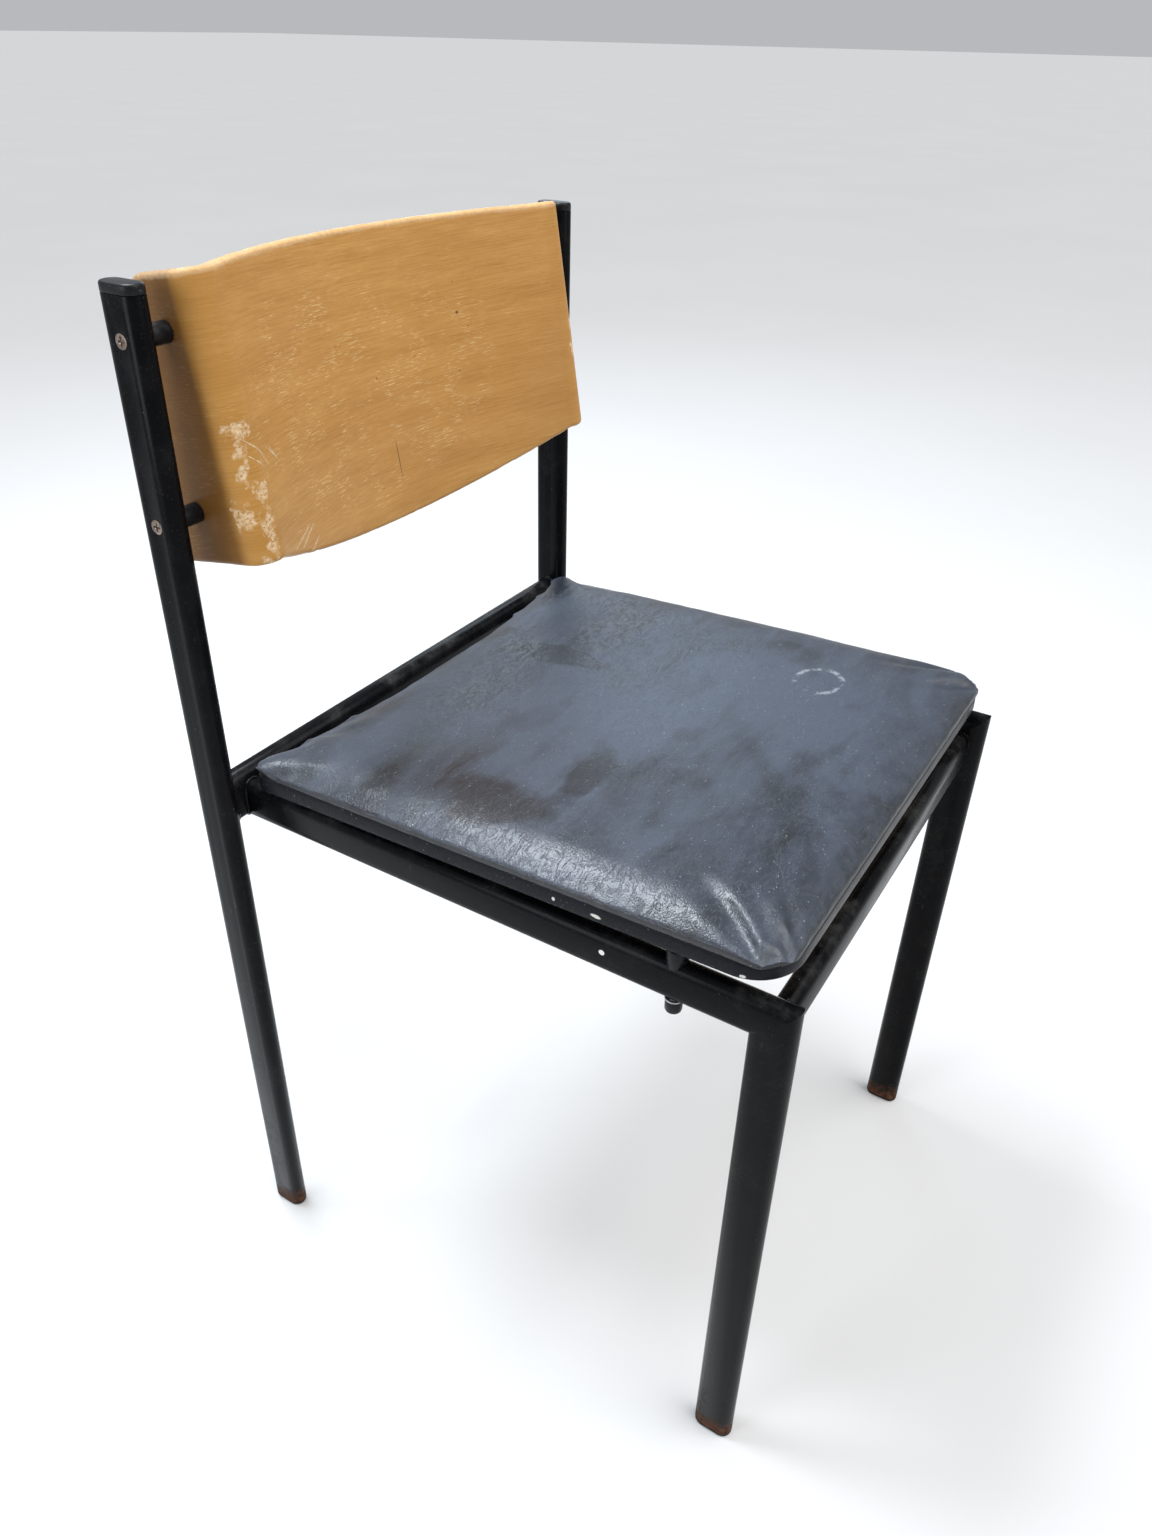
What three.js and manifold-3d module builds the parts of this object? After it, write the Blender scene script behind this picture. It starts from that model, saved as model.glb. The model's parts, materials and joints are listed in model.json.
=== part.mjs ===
// A side chair: a welded frame of flat-oval steel tube, a bent plywood backrest screwed
// between the two rear uprights, and an upholstered seat pad bolted to the side rails.
// Millimetres, +Z up. The sitter faces -Y, so the chair's right side is at -X.
// Inside the file Y is 0 on the centreline of the rear uprights. The finished group is moved
// so that the origin is on the floor at the middle of the chair's depth.
import * as THREE from "three";
import { mergeVertices } from "three/addons/utils/BufferGeometryUtils.js";
import Module from "manifold-3d";

// ---- Driving dimensions ----
const SIDES = { right: -1, left: 1 };
const GAP = 0.3; // clearance left between pieces that touch

const TUBE = { long: 30, thick: 15, wall: 2 }; // uprights, legs, side rails, front crossbar
const REAR_BAR = { long: 38, thick: 20, wall: 2 };
const OVERALL_WIDTH = 450;
const UPRIGHT_TOP = 779.5; // end of the steel, below the plastic cap
const SIDE_FRAME_SPACE = 9; // between an upright and the side rail beside it
const RAIL_TOP = 450;
const RAIL_REAR_Y = -7; // before the saddle is cut
const FRONT_LEG_Y = -418.5;
const FRONT_BAR = { y: -415.5, z: 417 };
const REAR_BAR_Z = 438;

const FOOT_PLUG = { head: 3, round: 2, spigot: 18 };
const UPRIGHT_CAP = { head: 6, round: 2, spigot: 18 };

const PANEL = {
  thick: 10,
  edgeRound: 3.5,
  tilt: THREE.MathUtils.degToRad(9.6), // the top leans back
  pivotZ: 701,
  flangeX: 192.8, // outer face of the side flanges
  frontY: -38.2, // foremost line of the bends, before the tilt
  bendRadius: 15, // on the outside of the bend
  arcHalfAngle: THREE.MathUtils.degToRad(30),
  topMiddle: 90, // edges, measured up and down the panel from the pivot
  topFall: 5,
  bottomMiddle: -114,
  bottomRise: 26.5,
  flangeRearY: 28,
  topCorner: 10,
  bottomCorner: 14,
};

const SEAT = {
  halfWidth: 201.5,
  rearY: -20,
  depth: 402.5,
  rearCorner: 12,
  frontCorner: 32,
  rearBow: 17, // the rear edge curves in by this much at the middle
  slope: THREE.MathUtils.degToRad(1.59), // the front edge is the higher one
  cover: 1.2,
  coverReturn: 22, // width of cover folded under the board
  board: 9,
  crown: 15,
  rearCrownLoss: 0.6, // share of the crown missing at the rear edge, where the pad is thin
  rearCrownReach: 90, // how quickly the crown fills out towards the front
};

const BACK_SCREW = { shank: 2.5, head: 4.7, headDepth: 2.2, length: 49.5 }; // radii
const BACK_SCREW_Z = { upper: 755, lower: 647 };
const BACK_SPACER_RADIUS = 6.5;
const WASHER_THICK = 1.2;
const BACK_NUT = { acrossFlats: 8, thick: 4 };
const FRONT_FIXING_Y = -354;
const FRONT_SPACER = { radius: 7, height: 9 };
const STUD = { radius: 3, bottom: 411, top: 468 };
const CAP_NUT = { radius: 5.5, height: 10.8, dome: 3.5 };
const REAR_FIXING_Y = -66;
const REAR_SCREW = { shank: 2, head: 4, headThick: 2.6, length: 14 };
const HOLE_CLEARANCE = 0.5;

// ---- Derived dimensions ----
const UPRIGHT_X = (OVERALL_WIDTH - TUBE.thick) / 2;
const RAIL_X = UPRIGHT_X - TUBE.thick - SIDE_FRAME_SPACE;
const RAIL_Z = RAIL_TOP - TUBE.long / 2;
const TUBE_FOOT = FOOT_PLUG.head + GAP; // height of the bottom end of every leg tube
const SEAT_UNDERSIDE = RAIL_TOP + GAP;
const TUBE_BORE = TUBE.thick / 2 - TUBE.wall; // radius of the round ends inside the tube
const REAR_SCREW_SEAT = // where the screw's head meets the rounded roof inside the rail
  RAIL_TOP - TUBE.thick / 2 + Math.sqrt(TUBE_BORE ** 2 - REAR_SCREW.head ** 2) - GAP;
const BOARD_BOTTOM = SEAT.cover + GAP; // from here on, heights in the seat pad's own frame
const BOARD_TOP = BOARD_BOTTOM + SEAT.board;
const FOAM_BOTTOM = BOARD_TOP + GAP;

// ---- Materials ----
const finish = (color, roughness, metalness = 0) =>
  new THREE.MeshStandardMaterial({ color, roughness, metalness });
const BLACK_LACQUER = finish(0x141416, 0.38, 0.1);
const BLACK_PLASTIC = finish(0x17171a, 0.5);
const BEECH_PLY = finish(0xb9843c, 0.4);
const RAW_PLY = finish(0xc9a878, 0.75);
const FOAM = finish(0xd8cfa6, 0.95);
const BLACK_VINYL = finish(0x3c4450, 0.45);
const RUSTY_STEEL = finish(0x6b5648, 0.6, 0.8);
const ZINC_STEEL = finish(0x9a9c9e, 0.4, 0.9);

// ---- Helpers for solids ----
const wasm = await Module();
wasm.setup();

function solidOf(geometry) {
  const flat = geometry.index ? geometry.toNonIndexed() : geometry;
  const plain = new THREE.BufferGeometry();
  plain.setAttribute("position", flat.getAttribute("position"));
  const merged = mergeVertices(plain, 1e-4);
  return new wasm.Manifold(
    new wasm.Mesh({
      numProp: 3,
      vertProperties: merged.attributes.position.array,
      triVerts: new Uint32Array(merged.index.array),
    }),
  );
}

function geometryOf(solid) {
  const { vertProperties, triVerts } = solid.getMesh();
  const geometry = new THREE.BufferGeometry();
  geometry.setAttribute("position", new THREE.BufferAttribute(vertProperties, 3));
  geometry.setIndex(new THREE.BufferAttribute(triVerts, 1));
  return geometry;
}

function cut(geometry, ...tools) {
  const rest = tools.reduce((solid, tool) => solid.subtract(solidOf(tool)), solidOf(geometry));
  return geometryOf(rest);
}

// Calls make(0), ... make(1) at equal steps and collects the results.
const steps = (count, make) => Array.from({ length: count + 1 }, (_, i) => make(i / count));

// Closed surface through rings with the same number of points each. The rings run
// anticlockwise as seen from the end of the stack, and both ends close on their middle.
function skin(rings) {
  const count = rings[0].length;
  const middle = (ring) =>
    ring.reduce((sum, point) => sum.add(point), new THREE.Vector3()).divideScalar(count);
  const points = [...rings.flat(), middle(rings[0]), middle(rings.at(-1))];
  const [firstMiddle, lastMiddle] = [points.length - 2, points.length - 1];
  const lastRing = (rings.length - 1) * count;
  const index = [];
  for (let i = 0; i < count; i++) {
    const next = (i + 1) % count;
    for (let ring = 0; ring < lastRing; ring += count) {
      const [a, b] = [ring + i, ring + next];
      index.push(a, b, b + count, a, b + count, a + count);
    }
    index.push(firstMiddle, next, i, lastMiddle, lastRing + i, lastRing + next);
  }
  return new THREE.BufferGeometry().setFromPoints(points).setIndex(index);
}

// A flat-oval outline, long along Y and thick along X.
function flatOval(long, thick) {
  const straight = (long - thick) / 2;
  const end = (sign) =>
    steps(8, (t) => {
      const angle = Math.PI * (sign > 0 ? t : 1 + t);
      const x = (thick / 2) * Math.cos(angle);
      return new THREE.Vector2(x, sign * straight + (thick / 2) * Math.sin(angle));
    });
  return [...end(1), ...end(-1)];
}

const extrude = (shape, depth, curveSegments = 6) =>
  new THREE.ExtrudeGeometry(shape, { depth, curveSegments, bevelEnabled: false });

// An open-ended flat-oval tube along +Z, starting at Z 0.
function tube({ long, thick, wall }, length) {
  const section = new THREE.Shape(flatOval(long, thick));
  section.holes.push(new THREE.Path(flatOval(long - 2 * wall, thick - 2 * wall)));
  return extrude(section, length);
}

// A tube's outside with the clearance added: neighbours are cut back with it. It is
// centred on its own middle.
const envelope = ({ long, thick }, length) =>
  extrude(new THREE.Shape(flatOval(long + 2 * GAP, thick + 2 * GAP)), length)
    .translate(0, 0, -length / 2);

// Lay a tube that was made along +Z: along +X, or along -Y, with its long side upright.
const layAlongX = (geometry) => geometry.rotateY(Math.PI / 2).rotateX(Math.PI / 2);
const layForward = (geometry) => geometry.rotateX(Math.PI / 2);

// Turns the square far end of a tube along +Z into a 45 degree mitre.
function mitre(geometry, length, slope) {
  const position = geometry.getAttribute("position");
  for (let i = 0; i < position.count; i++) {
    if (position.getZ(i) > length / 2) {
      position.setZ(i, position.getZ(i) + slope * position.getY(i));
    }
  }
  return geometry;
}

// A drill about the given axis, centred on a point.
function drill(axis, radius, length, x, y, z) {
  const tool = new THREE.CylinderGeometry(radius, radius, length, 16);
  if (axis === "x") tool.rotateZ(Math.PI / 2);
  if (axis === "z") tool.rotateX(Math.PI / 2);
  return tool.translate(x, y, z);
}

// A turned piece about the Y axis. The profile holds [radius, y] points and rises outside
// the material: it starts and ends on the axis, or comes back to its first point.
const turned = (profile) =>
  new THREE.LatheGeometry(profile.map(([radius, y]) => new THREE.Vector2(radius, y)), 18);

// A plain ring about the Y axis, from Y 0 to its thickness.
const ring = (inner, outer, thick) =>
  turned([[inner, 0], [outer, 0], [outer, thick], [inner, thick], [inner, 0]]);

const chair = new THREE.Group();
function place(name, geometry, material, x, y, z, parent = chair) {
  const mesh = new THREE.Mesh(geometry, material);
  mesh.name = name;
  mesh.position.set(x, y, z);
  parent.add(mesh);
  return mesh;
}

// ---- Frame ----
// A rear upright is drilled right through for the two backrest screws, and its outer wall
// is countersunk for their heads.
function rearUpright(side) {
  const holes = Object.values(BACK_SCREW_Z).flatMap((height) => {
    const z = height - TUBE_FOOT;
    const hole = drill("x", BACK_SCREW.shank + GAP, 2 * TUBE.thick, 0, 0, z);
    const { head, shank, headDepth } = BACK_SCREW;
    const sink = new THREE.CylinderGeometry(head + GAP, shank + GAP, headDepth, 16);
    sink.rotateZ((-side * Math.PI) / 2);
    return [hole, sink.translate((side * (TUBE.thick - headDepth)) / 2, 0, z)];
  });
  return cut(tube(TUBE, UPRIGHT_TOP - TUBE_FOOT), ...holes);
}

function frontLeg() {
  const length = RAIL_Z - TUBE_FOOT;
  return mitre(tube(TUBE, length), length, -1);
}

// A side rail reaches from a saddle on the rear crossbar to the mitre over the front leg.
// The seat's front stud passes through it. The rear screw sits inside its top wall, over an
// access hole in the bottom wall.
function sideRail() {
  const length = RAIL_REAR_Y - FRONT_LEG_Y - GAP;
  const rail = layForward(mitre(tube(TUBE, length), length, 1));
  const bar = layAlongX(envelope(REAR_BAR, 4 * TUBE.thick));
  bar.translate(0, -RAIL_REAR_Y, REAR_BAR_Z - RAIL_Z);
  const frontY = FRONT_FIXING_Y - RAIL_REAR_Y;
  const rearY = REAR_FIXING_Y - RAIL_REAR_Y;
  const wallDrill = 4 * TUBE.wall;
  return cut(
    rail,
    bar,
    drill("z", STUD.radius + GAP, 2 * TUBE.long, 0, frontY, 0),
    drill("z", REAR_SCREW.shank + GAP, wallDrill, 0, rearY, TUBE.long / 2),
    drill("z", REAR_SCREW.head + 1, wallDrill, 0, rearY, -TUBE.long / 2),
  );
}

// The rear crossbar is shaped at its ends to sit against the uprights.
function rearCrossbar() {
  const bar = tube(REAR_BAR, 2 * UPRIGHT_X).translate(0, 0, -UPRIGHT_X);
  const uprights = Object.values(SIDES).map((side) =>
    envelope(TUBE, 2 * REAR_BAR.long).translate(side * UPRIGHT_X, 0, 0),
  );
  return cut(layAlongX(bar), ...uprights);
}

// The front crossbar is shaped at its ends to sit against the legs and the side rails.
function frontCrossbar() {
  const bar = tube(TUBE, 2 * RAIL_X).translate(0, 0, -RAIL_X);
  const neighbours = Object.values(SIDES).flatMap((side) => {
    const leg = envelope(TUBE, 4 * TUBE.long);
    const rail = layForward(envelope(TUBE, 4 * TUBE.long));
    return [
      leg.translate(side * RAIL_X, FRONT_LEG_Y - FRONT_BAR.y, 0),
      rail.translate(side * RAIL_X, 0, RAIL_Z - FRONT_BAR.z),
    ];
  });
  return cut(layAlongX(bar), ...neighbours);
}

// A plastic end piece for the flat-oval tube: a spigot inside the tube below Z 0, and a head
// of the tube's own outline above it with a rounded rim.
function tubeEnd({ head, round, spigot }) {
  const inside = TUBE.wall + GAP;
  const rim = steps(3, (t) => {
    const angle = (t * Math.PI) / 2;
    return [round * (1 - Math.cos(angle)), head - round * (1 - Math.sin(angle))];
  });
  const levels = [[inside + 0.6, -spigot], [inside, -spigot + 2], [inside, 0], [0, 0], ...rim];
  return skin(
    levels.map(([inset, z]) =>
      flatOval(TUBE.long - 2 * inset, TUBE.thick - 2 * inset).map(
        (point) => new THREE.Vector3(point.x, point.y, z),
      ),
    ),
  );
}

// ---- Backrest ----
// Rounded-rectangle section of the panel as [depth behind the front face, height] points,
// with a few rows up each face.
function panelSection({ top, bottom, inset }) {
  const round = PANEL.edgeRound - inset;
  const rows = 3;
  const low = bottom + PANEL.edgeRound;
  const high = top - PANEL.edgeRound;
  const back = PANEL.thick - PANEL.edgeRound;
  const corner = (depth, height, quarter) =>
    steps(3, (t) => {
      const angle = ((quarter + t) * Math.PI) / 2;
      return [depth + round * Math.cos(angle), height + round * Math.sin(angle)];
    });
  const face = (depth, from, to) =>
    steps(rows, (t) => [depth, from + t * (to - from)]).slice(1, -1);
  return [
    ...corner(back, low, -1),
    ...face(back + round, low, high),
    ...corner(back, high, 0),
    ...corner(PANEL.edgeRound, high, 1),
    ...face(PANEL.edgeRound - round, high, low),
    ...corner(PANEL.edgeRound, low, 2),
  ];
}

// Stations along the panel's left half, from the middle to the flange's rear edge. Each one
// holds its top and bottom, how far its section is drawn in, and where a point at a given
// depth and height goes in plan.
function panelHalf() {
  const { bendRadius, arcHalfAngle, flangeX, frontY, tilt, edgeRound } = PANEL;
  const bend = { x: flangeX - bendRadius, y: frontY + bendRadius };
  const arcRadius = bend.x / Math.sin(arcHalfAngle) - bendRadius;
  const arcCentreY = bend.y - (arcRadius + bendRadius) * Math.cos(arcHalfAngle);
  const flangeTop = PANEL.topMiddle - PANEL.topFall;
  const flangeBottom = PANEL.bottomMiddle + PANEL.bottomRise;

  const arc = steps(12, (t) => {
    const angle = t * arcHalfAngle;
    return {
      top: PANEL.topMiddle - PANEL.topFall * t * t,
      bottom: PANEL.bottomMiddle + PANEL.bottomRise * t * t,
      inset: 0,
      plan: (depth) => [
        (arcRadius + depth) * Math.sin(angle),
        arcCentreY + (arcRadius + depth) * Math.cos(angle),
      ],
    };
  });

  const turn = steps(8, (t) => {
    const angle = -arcHalfAngle + t * (arcHalfAngle + Math.PI / 2);
    return {
      top: flangeTop,
      bottom: flangeBottom,
      inset: 0,
      plan: (depth) => [
        bend.x + (bendRadius - depth) * Math.sin(angle),
        bend.y - (bendRadius - depth) * Math.cos(angle),
      ],
    };
  });

  // The flange's rear edge is upright on the chair, so it slants in the panel's own frame.
  const rearAt = (height) => (PANEL.flangeRearY - height * Math.sin(tilt)) / Math.cos(tilt);
  const flangeLength = (height) => rearAt(height) - bend.y;
  const topScale = flangeLength(flangeTop) / flangeLength(flangeBottom);
  const rounded = (radius, distance) =>
    distance < radius ? radius - Math.sqrt(radius ** 2 - (radius - distance) ** 2) : 0;
  const cornerReach = Math.max(PANEL.bottomCorner, PANEL.topCorner / topScale);
  const flange = steps(6, (t) => {
    const fromRear = cornerReach * (1 - Math.sin((t * Math.PI) / 2));
    const share = 1 - fromRear / flangeLength(flangeBottom);
    return {
      top: flangeTop - rounded(PANEL.topCorner, fromRear * topScale),
      bottom: flangeBottom + rounded(PANEL.bottomCorner, fromRear),
      inset: Math.min(rounded(edgeRound, fromRear), edgeRound - 0.7),
      plan: (depth, height) => [flangeX - depth, bend.y + share * flangeLength(height)],
    };
  });
  return [...arc, ...turn.slice(1), ...flange];
}

function backrestPanel() {
  const left = panelHalf();
  const right = left.slice(1).reverse().map((station) => ({
    ...station,
    plan: (depth, height) => {
      const [x, y] = station.plan(depth, height);
      return [-x, y];
    },
  }));
  const rings = [...right, ...left].map((station) =>
    panelSection(station).map(([depth, height]) => {
      const [x, y] = station.plan(depth, height);
      return new THREE.Vector3(x, y, height);
    }),
  );
  const { flangeX, thick, tilt, pivotZ } = PANEL;
  const holes = Object.values(SIDES).flatMap((side) =>
    Object.values(BACK_SCREW_Z).map((height) =>
      drill("x", BACK_SCREW.shank + GAP, 2 * thick, side * (flangeX - thick / 2),
        -(height - pivotZ) * Math.sin(tilt), (height - pivotZ) * Math.cos(tilt)),
    ),
  );
  return cut(skin(rings), ...holes);
}

// Countersunk machine screw along +Y with a cross recess in its head.
function backScrew() {
  const { shank, head, headDepth, length } = BACK_SCREW;
  const body = turned([[0, 0], [head, 0], [shank, headDepth], [shank, length - 0.7],
    [shank - 0.7, length], [0, length]]);
  const slot = [2 * head - 4, 3, 1.1];
  return cut(body, new THREE.BoxGeometry(...slot), new THREE.BoxGeometry(...slot.reverse()));
}

// Hexagon nut along +X.
function backNut() {
  const corner = BACK_NUT.acrossFlats / Math.sqrt(3);
  const outline = steps(6, (t) => {
    const angle = 2 * Math.PI * t;
    return new THREE.Vector2(corner * Math.cos(angle), corner * Math.sin(angle));
  });
  const section = new THREE.Shape(outline.slice(0, 6));
  const bore = new THREE.Path().absarc(0, 0, BACK_SCREW.shank + GAP, 0, 2 * Math.PI);
  section.holes.push(bore);
  return layAlongX(extrude(section, BACK_NUT.thick, 12));
}

// ---- Seat ----
// The pad's outline seen from above, anticlockwise, with the rear corners at Y 0.
function seatOutline() {
  const { halfWidth: w, depth: d, rearCorner: r, frontCorner: f, rearBow } = SEAT;
  const outline = new THREE.Path();
  outline.moveTo(w, f - d);
  outline.lineTo(w, -r);
  outline.absarc(w - r, -r, r, 0, Math.PI / 2);
  outline.quadraticCurveTo(0, -2 * rearBow, r - w, 0);
  outline.absarc(r - w, -r, r, Math.PI / 2, Math.PI);
  outline.lineTo(-w, f - d);
  outline.absarc(f - w, f - d, f, Math.PI, 1.5 * Math.PI);
  outline.lineTo(w - f, -d);
  outline.absarc(w - f, f - d, f, 1.5 * Math.PI, 2 * Math.PI);
  const points = outline.getPoints(5);
  return points.filter((point, i) => point.distanceTo(points.at(i - 1)) > 0.01);
}
const SEAT_OUTLINE = seatOutline();

// The outline drawn in towards the middle of the pad, at one height. A third number in the
// level is how far a fully padded spot rises above that height.
function seatRing([inset, height, rise = 0]) {
  const scale = 1 - inset / SEAT.halfWidth;
  const middleY = -SEAT.depth / 2;
  return SEAT_OUTLINE.map((point) => {
    const y = middleY + (point.y - middleY) * scale;
    const fullness = 1 - SEAT.rearCrownLoss * Math.exp(y / SEAT.rearCrownReach);
    return new THREE.Vector3(point.x * scale, y, height + rise * fullness);
  });
}
const seatSolid = (levels) => skin(levels.map(seatRing));

// Levels of the padded top, from its edge to the middle: steep shoulders and a flat crown.
function crown(edgeInset, edgeHeight) {
  return steps(6, (t) => {
    const reach = 1 - 0.93 * t * t;
    const inset = SEAT.halfWidth - (SEAT.halfWidth - edgeInset) * reach;
    return [inset, edgeHeight, SEAT.crown * (1 - reach ** 8)];
  });
}

// Tools that bore into the pad's underside for the front studs and the rear screws.
function seatHoles() {
  const bores = [
    [FRONT_FIXING_Y, STUD.radius],
    [REAR_FIXING_Y, REAR_SCREW.shank],
  ];
  const depth = BOARD_TOP - 1;
  return Object.values(SIDES).flatMap((side) =>
    bores.map(([y, radius]) =>
      drill("z", radius + HOLE_CLEARANCE, 2 * depth, side * RAIL_X, y - SEAT.rearY, 0),
    ),
  );
}

function seatBoard() {
  const edge = SEAT.cover + GAP;
  const levels = [[edge + 1, BOARD_BOTTOM], [edge, BOARD_BOTTOM + 1], [edge, BOARD_TOP]];
  return cut(seatSolid(levels), ...seatHoles());
}

function seatFoam() {
  const edge = 5;
  return seatSolid([[edge, FOAM_BOTTOM], ...crown(edge, FOAM_BOTTOM + 0.8)]);
}

// The cover is one skin: over the foam, down the board's edge and folded under it.
function seatCover() {
  const { cover, coverReturn } = SEAT;
  const underFoam = FOAM_BOTTOM + 0.8 + GAP;
  const inside = [...crown(cover, underFoam).reverse(), [cover, cover], [coverReturn, cover]];
  const outside = [[coverReturn, 0], [1, 0], [0, 1], [0, underFoam], ...crown(1, underFoam + cover)];
  return cut(seatSolid([...inside, ...outside]), ...seatHoles());
}

// Domed nut hanging below Y 0, bored from the top.
function capNut() {
  const { radius, height, dome } = CAP_NUT;
  const bore = STUD.radius + GAP;
  const boreBottom = 2 - height;
  const round = steps(4, (t) => {
    const angle = (t * Math.PI) / 2;
    return [radius * Math.sin(angle), dome * (1 - Math.cos(angle)) - height];
  });
  return turned([...round, [radius, 0], [bore, 0], [bore, boreBottom], [0, boreBottom]]);
}

// Hanger bolt: its upper end is screwed into the board, its lower end takes the cap nut.
function frontStud() {
  const { radius, bottom, top } = STUD;
  const length = top - bottom;
  return turned([[0, 0], [radius - 0.7, 0], [radius, 0.7], [radius, length - 3], [1, length], [0, length]]);
}

// Rubber spacer under the seat's front, saddled on the rail. Z 0 is the rail's top.
function frontSpacer() {
  const { radius, height } = FRONT_SPACER;
  const skirt = 4;
  const rail = layForward(envelope(TUBE, TUBE.long)).translate(0, 0, -TUBE.long / 2);
  const post = ring(STUD.radius + GAP, radius, height + skirt).rotateX(Math.PI / 2);
  return cut(post.translate(0, 0, -skirt), rail);
}

// Pan-head screw pointing up, with its head below Y 0.
function rearScrew() {
  const { shank, head, headThick, length } = REAR_SCREW;
  return turned([[0, -headThick], [head - 0.8, -headThick], [head, 0.8 - headThick], [head, 0],
    [shank, 0], [shank, length - 2], [0.3, length], [0, length]]);
}

// ---- Assembly ----
const backrest = new THREE.Group();
backrest.position.z = PANEL.pivotZ;
backrest.rotation.x = -PANEL.tilt;
const seat = new THREE.Group();
seat.position.set(0, SEAT.rearY, SEAT_UNDERSIDE);
seat.rotation.x = -SEAT.slope;
chair.add(backrest, seat);

place("rear_crossbar", rearCrossbar(), BLACK_LACQUER, 0, 0, REAR_BAR_Z);
place("front_crossbar", frontCrossbar(), BLACK_LACQUER, 0, FRONT_BAR.y, FRONT_BAR.z);
place("backrest_panel", backrestPanel(), BEECH_PLY, 0, 0, 0, backrest);
place("seat_board", seatBoard(), RAW_PLY, 0, 0, 0, seat);
place("seat_foam", seatFoam(), FOAM, 0, 0, 0, seat);
place("seat_cover", seatCover(), BLACK_VINYL, 0, 0, 0, seat);

for (const [name, side] of Object.entries(SIDES)) {
  const uprightX = side * UPRIGHT_X;
  const railX = side * RAIL_X;
  place(`rear_upright_${name}`, rearUpright(side), BLACK_LACQUER, uprightX, 0, TUBE_FOOT);
  place(`front_leg_${name}`, frontLeg(), BLACK_LACQUER, railX, FRONT_LEG_Y, TUBE_FOOT);
  place(`side_rail_${name}`, sideRail(), BLACK_LACQUER, railX, RAIL_REAR_Y, RAIL_Z);
  place(`upright_cap_${name}`, tubeEnd(UPRIGHT_CAP), BLACK_PLASTIC, uprightX, 0, UPRIGHT_TOP + GAP);
  for (const [end, x, y] of [["rear", uprightX, 0], ["front", railX, FRONT_LEG_Y]]) {
    const plug = tubeEnd(FOOT_PLUG);
    place(`foot_plug_${end}_${name}`, plug, BLACK_PLASTIC, x, y, FOOT_PLUG.head).rotation.x = Math.PI;
  }

  // Across the chair, from the upright's outer face towards the middle.
  const outerX = UPRIGHT_X + TUBE.thick / 2;
  const spacerX = PANEL.flangeX + GAP;
  const spacerLength = outerX - TUBE.thick - GAP - spacerX;
  const washerX = PANEL.flangeX - PANEL.thick - GAP;
  const nutX = washerX - WASHER_THICK - GAP;
  const bore = BACK_SCREW.shank + GAP;
  for (const [level, z] of Object.entries(BACK_SCREW_Z)) {
    const spacer = ring(bore, BACK_SPACER_RADIUS, spacerLength);
    const washer = ring(bore, 5, WASHER_THICK);
    const nutStart = side > 0 ? nutX - BACK_NUT.thick : -nutX;
    const turn = (side * Math.PI) / 2; // turns +Y to point at the middle of the chair
    place(`back_screw_${level}_${name}`, backScrew(), RUSTY_STEEL, side * outerX, 0, z).rotation.z = turn;
    place(`back_spacer_${level}_${name}`, spacer, BLACK_PLASTIC,
      side * (spacerX + spacerLength), 0, z).rotation.z = turn;
    place(`back_washer_${level}_${name}`, washer, ZINC_STEEL, side * washerX, 0, z).rotation.z = turn;
    place(`back_nut_${level}_${name}`, backNut(), ZINC_STEEL, nutStart, 0, z);
  }

  // Up through the side rail, into the seat board. Turned pieces stand on end.
  const washerZ = RAIL_TOP - TUBE.long - GAP - WASHER_THICK;
  const washer = ring(STUD.radius + GAP, 6, WASHER_THICK);
  place(`seat_front_spacer_${name}`, frontSpacer(), BLACK_PLASTIC, railX, FRONT_FIXING_Y, RAIL_TOP);
  const upright = [
    place(`seat_front_stud_${name}`, frontStud(), ZINC_STEEL, railX, FRONT_FIXING_Y, STUD.bottom),
    place(`seat_front_washer_${name}`, washer, ZINC_STEEL, railX, FRONT_FIXING_Y, washerZ),
    place(`seat_front_cap_nut_${name}`, capNut(), BLACK_PLASTIC, railX, FRONT_FIXING_Y, washerZ - GAP),
    place(`seat_rear_screw_${name}`, rearScrew(), ZINC_STEEL, railX, REAR_FIXING_Y, REAR_SCREW_SEAT),
  ];
  upright.forEach((piece) => (piece.rotation.x = Math.PI / 2));
}

// The origin goes under the middle of the chair's depth.
const bounds = new THREE.Box3().setFromObject(chair, true);
chair.children.forEach((child) => (child.position.y -= (bounds.min.y + bounds.max.y) / 2));

export default chair;
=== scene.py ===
"""The looks of the side chair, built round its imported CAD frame.

Every piece is in metres in the frame's own axes: +Z up, the sitter faces -Y and the
chair's right side is at -X. Sizes come from the frame's boxes or are named below.
"""
import json
import math
import random

import bmesh
import bpy
from mathutils import Matrix, Vector, noise


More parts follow.
